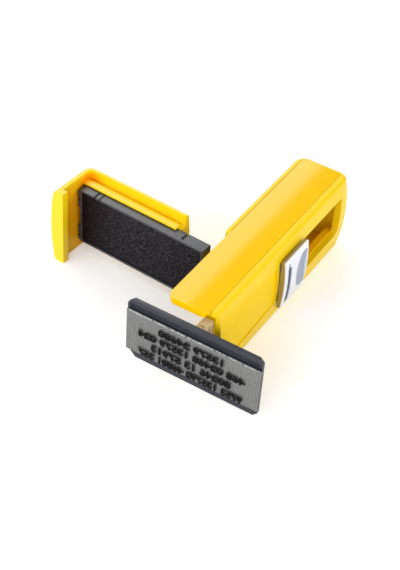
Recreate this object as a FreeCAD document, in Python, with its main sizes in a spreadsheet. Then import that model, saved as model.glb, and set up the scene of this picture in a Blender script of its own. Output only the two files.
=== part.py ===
import FreeCAD, Part
import os
import re

os.makedirs("parts", exist_ok=True)
doc = FreeCAD.newDocument("PocketStamp")

# Driving dimensions in millimetres and degrees
# Origin at the middle of the closed body's underside, X right, Y to the rear, Z up
DIMS = [
    ("case_height", "25.5"),
    ("side_mid_x", "9.47"),
    ("side_radius", "71.9"),
    ("case_front_y", "-34.6"),
    ("case_rear_y", "40.3"),
    ("case_corner_radius", "3.5"),
    ("rim_round", "1.1"),
    ("inner_right_x", "7.3"),
    ("inner_left_x", "-7.0"),
    ("rear_wall", "2.7"),
    ("left_wall_front_y", "-4.1"),
    ("left_wall_round", "1.0"),
    ("pad_notch_rear_y", "6.0"),
    ("pad_notch_bottom_z", "3.0"),
    ("pad_notch_top_gap", "2.7"),
    ("tongue_notch_rear_y", "13.0"),
    ("tongue_notch_gap", "0.6"),
    ("throat_left_x", "-5.9"),
    ("throat_right_x", "5.1"),
    ("lid_left_x", "-6.8"),
    ("lid_right_x", "5.95"),
    ("lid_front_y", "-36.4"),
    ("lid_rear_margin", "2.5"),
    ("lid_thickness", "1.2"),
    ("lid_gap", "0.12"),
    ("lid_crown", "0.3"),
    ("lid_crown_radius", "60.0"),
    ("lid_lip_thickness", "0.6"),
    ("lid_corner_radius", "2.5"),
    ("lid_rear_radius", "1.2"),
    ("ledge_thickness", "0.8"),
    ("window_front_y", "-3.4"),
    ("window_rear_y", "33.9"),
    ("window_bottom_z", "7.0"),
    ("window_top_gap", "5.0"),
    ("window_round", "0.6"),
    ("window_rear_round", "2.2"),
    ("panel_front_y", "-34.0"),
    ("panel_rear_y", "-4.5"),
    ("panel_front_bottom_z", "4.4"),
    ("panel_front_top_gap", "2.6"),
    ("panel_rear_bottom_z", "7.0"),
    ("panel_rear_top_gap", "5.3"),
    ("panel_floor_x", "8.0"),
    ("panel_sink", "0.3"),
    ("panel_gap", "0.1"),
    ("travel", "27.0"),
    ("cover_turn", "93.42"),
    ("cover_pivot_x", "-1.662"),
    ("cover_pivot_y", "14.732"),
    ("cover_pin_radius", "0.95"),
    ("pin_clearance", "0.05"),
    ("boss_radius", "2.3"),
    ("boss_gap", "0.3"),
    ("cover_corner_x", "-9.47"),
    ("cover_front_y", "-41.2"),
    ("cover_rear_y", "-4.2"),
    ("cover_right_x", "7.9"),
    ("cover_inner_x", "-6.95"),
    ("cover_inner_y", "-38.4"),
    ("cover_corner_radius", "3.0"),
    ("cover_inner_radius", "1.5"),
    ("cover_lip_left_x", "5.5"),
    ("cover_lip_y", "-36.7"),
    ("shelf_x", "-4.5"),
    ("shelf_margin", "0.5"),
    ("clip_back_x", "-5.3"),
    ("clip_front_x", "-3.2"),
    ("clip_rear_y", "-4.9"),
    ("clip_gap", "0.1"),
    ("clip_thickness", "0.7"),
    ("tongue_left_x", "-8.9"),
    ("tongue_right_x", "-4.7"),
    ("tongue_rear_y", "12.6"),
    ("tongue_bottom_z", "4.2"),
    ("tongue_top_z", "15.0"),
    ("neck_right_x", "-0.3"),
    ("neck_front_y", "9.0"),
    ("tray_left_x", "-4.4"),
    ("tray_right_x", "-0.3"),
    ("tray_front_y", "-37.1"),
    ("tray_rear_y", "6.4"),
    ("tray_bottom_z", "3.3"),
    ("tray_top_gap", "3.1"),
    ("tray_rim", "0.7"),
    ("tray_floor_x", "-3.2"),
    ("pad_face_x", "-0.5"),
    ("pad_side_gap", "0.05"),
    ("pad_corner_radius", "0.6"),
    ("lug_length", "0.85"),
    ("tray_slot_y", "-1.6"),
    ("tray_slot_width", "0.6"),
    ("tray_slot_depth", "0.7"),
    ("tray_notch_y", "-31.6"),
    ("tray_notch_length", "2.0"),
    ("die_centre_x", "4.96"),
    ("die_face_y", "-41.9"),
    ("die_half_length", "20.66"),
    ("die_bottom_z", "5.5"),
    ("die_top_gap", "5.5"),
    ("plate_corner_radius", "1.0"),
    ("plate_thickness", "0.8"),
    ("cushion_thickness", "0.38"),
    ("letter_height", "0.3"),
    ("letter_half_length", "18.2"),
    ("letter_line_height", "2.1"),
    ("letter_margin", "1.175"),
    ("mount_thickness", "1.14"),
    ("mount_left_x", "-15.95"),
    ("mount_right_x", "25.2"),
    ("mount_bottom_z", "2.65"),
    ("mount_top_gap", "2.3"),
    ("mount_low_chamfer", "2.9"),
    ("mount_left_chamfer", "1.8"),
    ("mount_right_chamfer", "1.3"),
    ("mount_groove_gap", "1.3"),
    ("mount_groove_height", "1.4"),
    ("mount_groove_depth", "0.35"),
    ("die_pivot_x", "5.42"),
    ("die_pivot_y", "-38.1"),
    ("die_pin_radius", "0.6"),
    ("knuckle_radius", "1.45"),
    ("knuckle_gap", "0.3"),
    ("fork_radius", "1.3"),
    ("fork_end_gap", "3.3"),
    ("fork_thickness", "2.0"),
    ("sled_left_x", "4.15"),
    ("sled_right_x", "6.9"),
    ("sled_bottom_z", "2.6"),
    ("sled_bar_top_z", "6.2"),
    ("sled_web_gap", "1.6"),
    ("sled_web_thickness", "2.0"),
    ("link_length", "13.191"),
    ("link_open_angle", "112.0"),
    ("link_thickness", "1.4"),
    ("link_gap", "0.2"),
    ("link_eye_radius", "1.7"),
    ("link_bar_width", "2.4"),
    ("link_pin_radius", "0.9"),
    ("anchor_rear_gap", "4.1"),
    ("anchor_z", "8.4"),
    ("bracket_left_x", "-5.5"),
    ("bracket_thickness", "1.2"),
    ("bracket_foot_height", "1.0"),
    ("bracket_foot_right_x", "-1.0"),
    ("bracket_front_reach", "2.3"),
    ("bracket_rear_reach", "2.9"),
    ("bracket_radius", "2.0"),
    ("sled_lug_thickness", "2.0"),
    ("sled_lug_radius", "1.8"),
    ("carriage_left_x", "4.6"),
    ("carriage_right_x", "6.9"),
    ("carriage_rear_y", "7.0"),
    ("carriage_bottom_z", "7.5"),
    ("carriage_top_gap", "6.3"),
    ("arm_thickness", "2.2"),
    ("arm_half_width", "2.0"),
    ("rail_left_x", "5.2"),
    ("rail_front_y", "-10.0"),
    ("rail_rear_gap", "2.6"),
    ("rail_thickness", "0.9"),
    ("rail_gap", "0.2"),
    ("head_front_y", "-3.3"),
    ("head_rear_y", "9.9"),
    ("head_bottom_z", "4.9"),
    ("head_top_gap", "3.6"),
    ("head_inner_x", "9.65"),
    ("head_outer_x", "11.4"),
    ("head_face_radius", "58.0"),
    ("head_corner_radius", "0.5"),
    ("dish_half_height", "6.8"),
    ("dish_half_width", "4.1"),
    ("dish_depth", "0.8"),
    ("dish_y", "7.7"),
    ("dish_drop", "0.1"),
    ("dish_edge", "0.5"),
    ("grip_line_y", "-1.3"),
    ("grip_line_width", "0.9"),
    ("grip_line_depth", "0.5"),
    ("grip_line_margin", "1.6"),
    ("stem_front_y", "-3.0"),
    ("stem_rear_y", "6.5"),
    ("stem_bottom_z", "9.0"),
    ("stem_top_gap", "7.5"),
    ("peg_radius", "1.3"),
    ("peg_front_y", "-0.6"),
    ("peg_rear_y", "4.2"),
    ("peg_tip_x", "5.0"),
]

# Values worked out from the driving dimensions
DERIVED = [
    ("mid_z", "case_height / 2"),
    ("side_axis_x", "side_radius - side_mid_x"),
    ("rear_axis_y", "case_rear_y - side_radius"),
    ("cover_axis_y", "cover_front_y + side_radius"),
    ("inner_rear_y", "case_rear_y - rear_wall"),
    ("lid_rear_y", "case_rear_y - lid_rear_margin"),
    ("lid_top_z", "case_height - lid_thickness"),
    ("pad_notch_top_z", "case_height - pad_notch_top_gap"),
    ("window_top_z", "case_height - window_top_gap"),
    ("panel_front_top_z", "case_height - panel_front_top_gap"),
    ("panel_rear_top_z", "case_height - panel_rear_top_gap"),
    ("tray_top_z", "case_height - tray_top_gap"),
    ("die_top_z", "case_height - die_top_gap"),
    ("letter_line_pitch", "(die_top_z - die_bottom_z - letter_line_height - 2 * letter_margin) / 3"),
    ("letter_first_z", "die_bottom_z + letter_margin + letter_line_height / 2"),
    ("mount_top_z", "case_height - mount_top_gap"),
    ("mount_groove_top_z", "mount_top_z - mount_groove_gap"),
    ("mount_groove_bottom_z", "mount_groove_top_z - mount_groove_height"),
    ("fork_low_z", "fork_end_gap"),
    ("fork_high_z", "case_height - fork_end_gap"),
    ("knuckle_bottom_z", "fork_low_z + fork_thickness + knuckle_gap"),
    ("knuckle_top_z", "fork_high_z - fork_thickness - knuckle_gap"),
    ("carriage_top_z", "case_height - carriage_top_gap"),
    ("boss_bottom_z", "carriage_bottom_z + arm_thickness + boss_gap"),
    ("boss_top_z", "carriage_top_z - arm_thickness - boss_gap"),
    ("stem_top_z", "case_height - stem_top_gap"),
    ("peg_z", "(stem_bottom_z + stem_top_z) / 2"),
    ("head_top_z", "case_height - head_top_gap"),
    ("dish_z", "(head_bottom_z + head_top_z) / 2 - dish_drop"),
    ("cover_pin_y", "cover_pivot_y - travel"),
    ("cover_base_x", "cover_pivot_x - cover_pivot_x * cos(cover_turn) - cover_pivot_y * sin(cover_turn)"),
    ("cover_base_y", "cover_pin_y + cover_pivot_x * sin(cover_turn) - cover_pivot_y * cos(cover_turn)"),
    ("cushion_front_y", "die_face_y + plate_thickness"),
    ("mount_front_y", "cushion_front_y + cushion_thickness"),
    ("mount_back_y", "mount_front_y + mount_thickness"),
    ("rail_rear_y", "inner_rear_y - rail_rear_gap"),
    ("anchor_y", "inner_rear_y - anchor_rear_gap"),
    ("bracket_front_y", "anchor_y - bracket_front_reach"),
    ("bracket_rear_y", "anchor_y + bracket_rear_reach"),
    ("knee_y", "anchor_y - link_length * sin(link_open_angle)"),
    ("knee_z", "anchor_z + link_length * cos(link_open_angle)"),
    ("sled_pin_y", "anchor_y - 2 * link_length * sin(link_open_angle)"),
    ("rear_link_x", "bracket_left_x + bracket_thickness + link_gap"),
    ("front_link_x", "rear_link_x + link_thickness + link_gap"),
    ("sled_lug_x", "front_link_x + link_thickness + link_gap"),
    ("sled_web_y", "die_pivot_y + sled_web_gap"),
    ("head_half_height", "(head_top_z - head_bottom_z) / 2"),
    ("head_face_drop", "head_face_radius - sqrt(head_face_radius ^ 2 - head_half_height ^ 2)"),
]

sheet = doc.addObject("Spreadsheet::Sheet", "Dims")
for row, (alias, value) in enumerate(DIMS, start=1):
    sheet.set(f"A{row}", alias)
    sheet.set(f"B{row}", value)
    sheet.setAlias(f"B{row}", alias)
doc.recompute()
for row, (alias, formula) in enumerate(DERIVED, start=len(DIMS) + 1):
    sheet.set(f"A{row}", alias)
    sheet.set(f"B{row}", "=" + formula)
    sheet.setAlias(f"B{row}", alias)
    doc.recompute()

ALIASES = {alias for alias, _ in DIMS + DERIVED}


# Expression text with every alias pointing at the sheet
def bound(text):
    def named(word):
        return "Dims." + word.group(0) if word.group(0) in ALIASES else word.group(0)

    return re.sub(r"[A-Za-z_]\w*", named, text)


def value(alias):
    return float(getattr(sheet, alias))


def add(kind, name):
    item = doc.addObject(kind, name)
    item.Label = name
    return item


def box(name, x, y, z):
    item = add("Part::Box", name)
    for side, base, (low, high) in (("Length", "x", x), ("Width", "y", y), ("Height", "z", z)):
        item.setExpression(side, bound(f"({high}) - ({low})"))
        item.setExpression("Placement.Base." + base, bound(low))
    return item


# Round bar along one axis, placed by the two other coordinates in XYZ order
def rod(name, axis, radius, centre, span):
    item = add("Part::Cylinder", name)
    low, high = span
    item.setExpression("Radius", bound(radius))
    item.setExpression("Height", bound(f"({high}) - ({low})"))
    if axis == "x":
        item.Placement.Rotation = FreeCAD.Rotation(FreeCAD.Vector(0, 1, 0), 90)
        order = (low, centre[0], centre[1])
    elif axis == "y":
        item.Placement.Rotation = FreeCAD.Rotation(FreeCAD.Vector(1, 0, 0), -90)
        order = (centre[0], low, centre[1])
    else:
        order = (centre[0], centre[1], low)
    for base, text in zip("xyz", order):
        item.setExpression("Placement.Base." + base, bound(text))
    return item


def fuse(name, *items):
    item = add("Part::MultiFuse", name)
    item.Shapes = list(items)
    item.Refine = True
    return item


def common(name, *items):
    item = add("Part::MultiCommon", name)
    item.Shapes = list(items)
    return item


def cut(name, base, *tools):
    item = add("Part::Cut", name)
    item.Base = base
    item.Tool = tools[0] if len(tools) == 1 else fuse(name + "_tools", *tools)
    return item


def dress(kind, name, base, size, wanted):
    doc.recompute()
    item = add(kind, name)
    item.Base = base
    edges = [n for n, edge in enumerate(base.Shape.Edges, start=1) if wanted(edge)]
    item.Edges = [(n, size, size) for n in edges]
    return item


def along(edge, axis):
    if edge.Curve.TypeId != "Part::GeomLine":
        return False
    first, last = edge.Vertexes[0].Point, edge.Vertexes[-1].Point
    return abs(abs((last - first).normalize().dot(axis)) - 1) < 1e-6


X_AXIS = FreeCAD.Vector(1, 0, 0)
Y_AXIS = FreeCAD.Vector(0, 1, 0)
Z_AXIS = FreeCAD.Vector(0, 0, 1)
nodes = []


# Upright edge, or half of one, where two bulged sides meet
def bulged_corner(edge):
    size = edge.BoundBox
    return size.ZLength > value("mid_z") - 0.01 and min(size.XLength, size.YLength) > 0.5


# Edge that lies in the plane of the underside or of the top
def on_rim(edge):
    size = edge.BoundBox
    middle = size.Center.z
    return size.ZLength < 0.01 and min(abs(middle), abs(middle - value("case_height"))) < 0.01


# Window edge at its lower rear corner
def low_rear(edge):
    return edge.CenterOfMass.y > 0 and edge.CenterOfMass.z < value("mid_z")


def node(item, name):
    item.Label = name
    nodes.append(item)
    return item


# Case shell, a bulged tube open at the front and front left
outer_block = box(
    "case_block", ("-side_mid_x - 1", "side_mid_x + 1"), ("case_front_y", "case_rear_y + 1"),
    ("0", "case_height"),
)
right_bulge = rod("case_right_bulge", "y", "side_radius", ("-side_axis_x", "mid_z"), ("-60", "60"))
left_bulge = rod("case_left_bulge", "y", "side_radius", ("side_axis_x", "mid_z"), ("-60", "60"))
rear_bulge = rod("case_rear_bulge", "x", "side_radius", ("rear_axis_y", "mid_z"), ("-20", "20"))
case_bulged = common("case_bulged", outer_block, right_bulge, left_bulge, rear_bulge)
case_cornered = dress(
    "Part::Fillet", "case_cornered", case_bulged, value("case_corner_radius"), bulged_corner,
)
case_outer = dress(
    "Part::Fillet", "case_outer", case_cornered, value("rim_round"),
    lambda e: on_rim(e) and e.CenterOfMass.y > value("case_front_y") + 0.01,
)

cavity = box(
    "case_cavity", ("inner_left_x", "inner_right_x"), ("-60", "inner_rear_y"),
    ("lid_thickness + ledge_thickness", "lid_top_z - ledge_thickness"),
)
throat = box(
    "case_throat", ("throat_left_x", "throat_right_x"), ("-60", "inner_rear_y"),
    ("lid_thickness - 0.1", "lid_top_z + 0.1"),
)


def lid_recess(name, low, high):
    block = box(
        name + "_block", ("lid_left_x - lid_gap", "lid_right_x + lid_gap"), ("-60", "lid_rear_y + lid_gap"),
        (low, high),
    )
    return dress(
        "Part::Fillet", name, block, value("lid_rear_radius") + value("lid_gap"),
        lambda e: along(e, Z_AXIS) and e.CenterOfMass.y > 0,
    )


top_recess = lid_recess("case_top_recess", "lid_top_z", "case_height + 1")
bottom_recess = lid_recess("case_bottom_recess", "-1", "lid_thickness")
left_open = box("case_left_open", ("-20", "0"), ("-60", "left_wall_front_y"), ("-1", "case_height + 1"))
left_ledge_cut = box(
    "case_left_ledge_cut", ("inner_left_x", "0"), ("-60", "tongue_notch_rear_y"),
    ("lid_thickness", "lid_top_z"),
)
pad_notch = box(
    "case_pad_notch", ("-20", "0"), ("-60", "pad_notch_rear_y"), ("pad_notch_bottom_z", "pad_notch_top_z"),
)
tongue_notch = box(
    "case_tongue_notch", ("-20", "0"), ("-60", "tongue_notch_rear_y"),
    ("tongue_bottom_z - tongue_notch_gap", "tongue_top_z + tongue_notch_gap"),
)
window_block = box(
    "case_window_block", ("inner_right_x - 1", "side_mid_x + 1"), ("window_front_y", "window_rear_y"),
    ("window_bottom_z", "window_top_z"),
)
window_small = dress(
    "Part::Fillet", "case_window_small", window_block, value("window_round"),
    lambda e: along(e, X_AXIS) and not low_rear(e),
)
window = dress(
    "Part::Fillet", "case_window", window_small, value("window_rear_round"),
    lambda e: along(e, X_AXIS) and low_rear(e),
)


# Side panel outline, deeper at the front end, shrunk by a margin
def panel_wedge(name, right, margin):
    item = add("Part::Wedge", name)
    sides = {
        "Xmin": "panel_floor_x",
        "X2min": "panel_floor_x",
        "Xmax": right,
        "X2max": right,
        "Ymin": "panel_front_y + " + margin,
        "Ymax": "panel_rear_y - " + margin,
        "Zmin": "panel_front_bottom_z + " + margin,
        "Zmax": "panel_front_top_z - " + margin,
        "Z2min": "panel_rear_bottom_z + " + margin,
        "Z2max": "panel_rear_top_z - " + margin,
    }
    for side, text in sides.items():
        item.setExpression(side, bound(text))
    doc.recompute()
    return dress("Part::Fillet", name + "_rounded", item, value("window_round"), lambda e: along(e, X_AXIS))


panel_recess = panel_wedge("case_panel_recess", "side_mid_x + 1", "0")
case_cut = cut(
    "case_cut", case_outer, cavity, throat, top_recess, bottom_recess, left_open, left_ledge_cut, pad_notch,
    tongue_notch, window, panel_recess,
)
case_shell = dress(
    "Part::Fillet", "case_shell", case_cut, value("left_wall_round"),
    lambda e: along(e, X_AXIS) and on_rim(e) and abs(e.CenterOfMass.y - value("left_wall_front_y")) < 0.01,
)
node(case_shell, "case_shell")


# Lid outline with large front corners and small rear corners
def lid_corners(name, base):
    front = dress(
        "Part::Fillet", name + "_front", base, value("lid_corner_radius"),
        lambda e: along(e, Z_AXIS) and e.CenterOfMass.y < value("lid_front_y") + 0.01,
    )
    return dress(
        "Part::Fillet", name, front, value("lid_rear_radius"),
        lambda e: along(e, Z_AXIS) and e.CenterOfMass.y > value("lid_rear_y") - 0.01,
    )


# Top lid, slightly crowned, with a turned-down front lip
top_block = box(
    "top_lid_block", ("lid_left_x", "lid_right_x"), ("lid_front_y", "lid_rear_y"),
    ("lid_top_z", "case_height + lid_crown"),
)
top_lip = box(
    "top_lid_lip", ("lid_left_x", "lid_right_x"), ("lid_front_y", "lid_front_y + lid_lip_thickness"),
    ("lid_top_z - ledge_thickness", "case_height - 0.2"),
)
top_corners = lid_corners("top_lid_corners", fuse("top_lid_solid", top_block, top_lip))
top_crown = rod(
    "top_lid_crown", "y", "lid_crown_radius",
    ("(lid_left_x + lid_right_x) / 2", "case_height + lid_crown - lid_crown_radius"), ("-60", "60"),
)
node(common("top_lid", top_corners, top_crown), "top_lid")

# Bottom lid, flat so that the stamp stands on it
bottom_block = box(
    "bottom_lid_block", ("lid_left_x", "lid_right_x"), ("lid_front_y", "lid_rear_y"), ("0", "lid_thickness"),
)
bottom_lip = box(
    "bottom_lid_lip", ("lid_left_x", "lid_right_x"), ("lid_front_y", "lid_front_y + lid_lip_thickness"),
    ("0.2", "lid_thickness + ledge_thickness"),
)
node(lid_corners("bottom_lid", fuse("bottom_lid_solid", bottom_block, bottom_lip)), "bottom_lid")

# Side panel in its recess
panel_rounded = panel_wedge("side_panel_body", "side_mid_x", "panel_gap")
panel_bulge = rod(
    "side_panel_bulge", "y", "side_radius - panel_sink", ("-side_axis_x", "mid_z"), ("-60", "60"),
)
node(common("side_panel", panel_rounded, panel_bulge), "side_panel")

# Guide rails on the right wall
lower_rail = box(
    "lower_rail", ("rail_left_x", "inner_right_x"), ("rail_front_y", "rail_rear_y"),
    ("carriage_bottom_z - rail_gap - rail_thickness", "carriage_bottom_z - rail_gap"),
)
node(lower_rail, "lower_rail")
upper_rail = box(
    "upper_rail", ("rail_left_x", "inner_right_x"), ("rail_front_y", "rail_rear_y"),
    ("carriage_top_z + rail_gap", "carriage_top_z + rail_gap + rail_thickness"),
)
node(upper_rail, "upper_rail")

# Bracket on the floor that carries the rear link
bracket_foot = box(
    "toggle_bracket_foot", ("bracket_left_x", "bracket_foot_right_x"), ("bracket_front_y", "bracket_rear_y"),
    ("lid_thickness", "lid_thickness + bracket_foot_height"),
)
bracket_post = box(
    "toggle_bracket_post", ("bracket_left_x", "bracket_left_x + bracket_thickness"),
    ("anchor_y - bracket_radius", "anchor_y + bracket_radius"), ("lid_thickness", "anchor_z"),
)
bracket_eye = rod(
    "toggle_bracket_eye", "x", "bracket_radius", ("anchor_y", "anchor_z"),
    ("bracket_left_x", "bracket_left_x + bracket_thickness"),
)
bracket_hole = rod(
    "toggle_bracket_hole", "x", "link_pin_radius + pin_clearance", ("anchor_y", "anchor_z"),
    ("bracket_left_x - 1", "bracket_left_x + bracket_thickness + 1"),
)
bracket_solid = fuse("toggle_bracket_solid", bracket_foot, bracket_post, bracket_eye)
node(cut("toggle_bracket", bracket_solid, bracket_hole), "toggle_bracket")
anchor_pin = rod(
    "anchor_pin", "x", "link_pin_radius", ("anchor_y", "anchor_z"),
    ("bracket_left_x", "rear_link_x + link_thickness"),
)
node(anchor_pin, "anchor_pin")


# Flat link lying along -Y from its first eye, then turned into place
def link(name, x_text, turn, y_text, z_text):
    first = rod(name + "_eye_a", "x", "link_eye_radius", ("0", "0"), ("0", "link_thickness"))
    second = rod(name + "_eye_b", "x", "link_eye_radius", ("-link_length", "0"), ("0", "link_thickness"))
    bar = box(
        name + "_bar", ("0", "link_thickness"), ("-link_length", "0"),
        ("-link_bar_width / 2", "link_bar_width / 2"),
    )
    solid = fuse(name + "_solid", first, second, bar)
    hole_a = rod(
        name + "_hole_a", "x", "link_pin_radius + pin_clearance", ("0", "0"), ("-1", "link_thickness + 1"),
    )
    hole_b = rod(
        name + "_hole_b", "x", "link_pin_radius + pin_clearance", ("-link_length", "0"),
        ("-1", "link_thickness + 1"),
    )
    item = cut(name, solid, hole_a, hole_b)
    item.Placement.Rotation = FreeCAD.Rotation(X_AXIS, 10)
    item.setExpression("Placement.Rotation.Angle", bound(turn))
    item.setExpression("Placement.Base.x", bound(x_text))
    item.setExpression("Placement.Base.y", bound(y_text))
    item.setExpression("Placement.Base.z", bound(z_text))
    return node(item, name)


# Toggle links and their pins
link("rear_link", "rear_link_x", "link_open_angle - 90", "anchor_y", "anchor_z")
knee_pin = rod(
    "knee_pin", "x", "link_pin_radius", ("knee_y", "knee_z"),
    ("rear_link_x", "front_link_x + link_thickness"),
)
node(knee_pin, "knee_pin")
link("front_link", "front_link_x", "360 + 90 - link_open_angle", "knee_y", "knee_z")

# Sled that carries the die hinge
sled_web = box(
    "die_sled_web", ("sled_left_x", "sled_right_x"), ("sled_web_y", "sled_web_y + sled_web_thickness"),
    ("sled_bottom_z", "fork_high_z"),
)
sled_bar = box(
    "die_sled_bar", ("sled_left_x", "sled_right_x"), ("sled_web_y", "sled_pin_y + sled_lug_radius"),
    ("sled_bottom_z", "sled_bar_top_z"),
)
sled_cross = box(
    "die_sled_cross", ("sled_lug_x", "sled_right_x"),
    ("sled_pin_y - sled_lug_radius", "sled_pin_y + sled_lug_radius"), ("sled_bottom_z", "sled_bar_top_z"),
)
sled_post = box(
    "die_sled_post", ("sled_lug_x", "sled_lug_x + sled_lug_thickness"),
    ("sled_pin_y - sled_lug_radius", "sled_pin_y + sled_lug_radius"), ("sled_bottom_z", "anchor_z"),
)
sled_eye = rod(
    "die_sled_eye", "x", "sled_lug_radius", ("sled_pin_y", "anchor_z"),
    ("sled_lug_x", "sled_lug_x + sled_lug_thickness"),
)


def fork_lug(name, low, high):
    lug = rod(name + "_eye", "z", "fork_radius", ("die_pivot_x", "die_pivot_y"), (low, high))
    arm = box(
        name + "_arm", ("die_pivot_x - fork_radius", "die_pivot_x + fork_radius"),
        ("die_pivot_y", "sled_web_y + 0.5"), (low, high),
    )
    return [lug, arm]


sled_solid = fuse(
    "die_sled_solid", sled_web, sled_bar, sled_cross, sled_post, sled_eye,
    *fork_lug("die_sled_low", "fork_low_z", "fork_low_z + fork_thickness"),
    *fork_lug("die_sled_high", "fork_high_z - fork_thickness", "fork_high_z"),
)
sled_pin_hole = rod(
    "die_sled_pin_hole", "x", "link_pin_radius + pin_clearance", ("sled_pin_y", "anchor_z"),
    ("sled_lug_x - 1", "sled_lug_x + sled_lug_thickness + 1"),
)
sled_hinge_hole = rod(
    "die_sled_hinge_hole", "z", "die_pin_radius + pin_clearance", ("die_pivot_x", "die_pivot_y"),
    ("0", "case_height"),
)
node(cut("die_sled", sled_solid, sled_pin_hole, sled_hinge_hole), "die_sled")
sled_pin = rod(
    "sled_pin", "x", "link_pin_radius", ("sled_pin_y", "anchor_z"),
    ("front_link_x", "sled_lug_x + sled_lug_thickness"),
)
node(sled_pin, "sled_pin")
die_hinge_pin = rod(
    "die_hinge_pin", "z", "die_pin_radius", ("die_pivot_x", "die_pivot_y"), ("fork_low_z", "fork_high_z"),
)
node(die_hinge_pin, "die_hinge_pin")

# Die mount with its hinge knuckle
mount_block = box(
    "die_mount_block", ("mount_left_x", "mount_right_x"), ("mount_front_y", "mount_back_y"),
    ("mount_bottom_z", "mount_top_z"),
)
mount_low = dress(
    "Part::Chamfer", "die_mount_low", mount_block, value("mount_low_chamfer"),
    lambda e: along(e, Y_AXIS) and e.CenterOfMass.x < 0 and e.CenterOfMass.z < value("mid_z"),
)
mount_left = dress(
    "Part::Chamfer", "die_mount_left", mount_low, value("mount_left_chamfer"),
    lambda e: along(e, Y_AXIS) and e.CenterOfMass.x < 0 and e.CenterOfMass.z > value("mount_top_z") - 0.01,
)
mount_flange = dress(
    "Part::Chamfer", "die_mount_flange", mount_left, value("mount_right_chamfer"),
    lambda e: along(e, Y_AXIS) and e.CenterOfMass.x > value("mount_right_x") - 0.01,
)
mount_groove = box(
    "die_mount_groove", ("mount_left_x + 1", "mount_right_x - 0.9"),
    ("mount_front_y - 1", "mount_front_y + mount_groove_depth"),
    ("mount_groove_bottom_z", "mount_groove_top_z"),
)
mount_root = box(
    "die_mount_root", ("die_pivot_x - knuckle_radius", "die_pivot_x + knuckle_radius"),
    ("mount_back_y - 0.3", "die_pivot_y"), ("knuckle_bottom_z", "knuckle_top_z"),
)
mount_knuckle = rod(
    "die_mount_knuckle", "z", "knuckle_radius", ("die_pivot_x", "die_pivot_y"),
    ("knuckle_bottom_z", "knuckle_top_z"),
)
mount_solid = fuse("die_mount_solid", mount_flange, mount_root, mount_knuckle)
mount_hole = rod(
    "die_mount_hole", "z", "die_pin_radius + pin_clearance", ("die_pivot_x", "die_pivot_y"),
    ("0", "case_height"),
)
node(cut("die_mount", mount_solid, mount_hole, mount_groove), "die_mount")

# Adhesive foam and rubber plate with four raised lines
node(
    box(
        "die_cushion", ("die_centre_x - die_half_length + 0.3", "die_centre_x + die_half_length - 0.3"),
        ("cushion_front_y", "mount_front_y"), ("die_bottom_z + 0.3", "die_top_z - 0.3"),
    ),
    "die_cushion",
)
plate_block = box(
    "text_plate_block", ("die_centre_x - die_half_length", "die_centre_x + die_half_length"),
    ("die_face_y", "cushion_front_y"), ("die_bottom_z", "die_top_z"),
)
plate_body = dress(
    "Part::Fillet", "text_plate_body", plate_block, value("plate_corner_radius"), lambda e: along(e, Y_AXIS),
)
letter_lines = [
    box(
        f"text_plate_line_{n}", ("die_centre_x - letter_half_length", "die_centre_x + letter_half_length"),
        ("die_face_y - letter_height", "die_face_y + 0.2"),
        (
            f"letter_first_z + {n} * letter_line_pitch - letter_line_height / 2",
            f"letter_first_z + {n} * letter_line_pitch + letter_line_height / 2",
        ),
    )
    for n in range(4)
]
node(fuse("text_plate", plate_body, *letter_lines), "text_plate")

# Carriage behind the thumb window, with two arms to the cover hinge
carriage_plate = box(
    "slide_carriage_plate", ("carriage_left_x", "carriage_right_x"),
    ("cover_pin_y - arm_half_width", "carriage_rear_y"), ("carriage_bottom_z", "carriage_top_z"),
)


def carriage_arm(name, low, high):
    arm = box(
        name + "_bar", ("cover_pivot_x", "carriage_left_x + 0.5"),
        ("cover_pin_y - arm_half_width", "cover_pin_y + arm_half_width"), (low, high),
    )
    eye = rod(name + "_eye", "z", "boss_radius", ("cover_pivot_x", "cover_pin_y"), (low, high))
    return [arm, eye]


carriage_solid = fuse(
    "slide_carriage_solid", carriage_plate,
    *carriage_arm("slide_carriage_low", "carriage_bottom_z", "carriage_bottom_z + arm_thickness"),
    *carriage_arm("slide_carriage_high", "carriage_top_z - arm_thickness", "carriage_top_z"),
)
carriage_hole = rod(
    "slide_carriage_hole", "z", "cover_pin_radius + pin_clearance", ("cover_pivot_x", "cover_pin_y"),
    ("0", "case_height"),
)
peg_holes = [
    rod(
        "slide_carriage_peg_hole_" + end, "x", "peg_radius + pin_clearance", (f"peg_{end}_y", "peg_z"),
        ("carriage_left_x - 1", "carriage_right_x + 1"),
    )
    for end in ("front", "rear")
]
node(cut("slide_carriage", carriage_solid, carriage_hole, *peg_holes), "slide_carriage")
cover_pin = rod(
    "cover_hinge_pin", "z", "cover_pin_radius", ("cover_pivot_x", "cover_pin_y"),
    ("carriage_bottom_z", "carriage_top_z"),
)
node(cover_pin, "cover_hinge_pin")

# Thumb button, a bulged head with a thumb dish, a stem through the window and two pegs
head_block = box(
    "thumb_button_block", ("head_inner_x", "head_outer_x"), ("head_front_y", "head_rear_y"),
    ("head_bottom_z", "head_top_z"),
)
head_corners = dress(
    "Part::Fillet", "thumb_button_corners", head_block, value("head_corner_radius"),
    lambda e: along(e, X_AXIS),
)
head_bulge = rod(
    "thumb_button_bulge", "y", "head_face_radius", ("head_outer_x - head_face_radius", "peg_z"),
    ("-60", "60"),
)
head = common("thumb_button_head", head_corners, head_bulge)
stem = box(
    "thumb_button_stem", ("carriage_right_x", "head_inner_x + 0.3"), ("stem_front_y", "stem_rear_y"),
    ("stem_bottom_z", "stem_top_z"),
)
pegs = [
    rod(
        "thumb_button_peg_" + end, "x", "peg_radius", (f"peg_{end}_y", "peg_z"),
        ("peg_tip_x", "carriage_right_x + 0.5"),
    )
    for end in ("front", "rear")
]
button_solid = fuse("thumb_button_solid", head, stem, *pegs)
dish_bowl = add("Part::Ellipsoid", "thumb_button_bowl")
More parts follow.
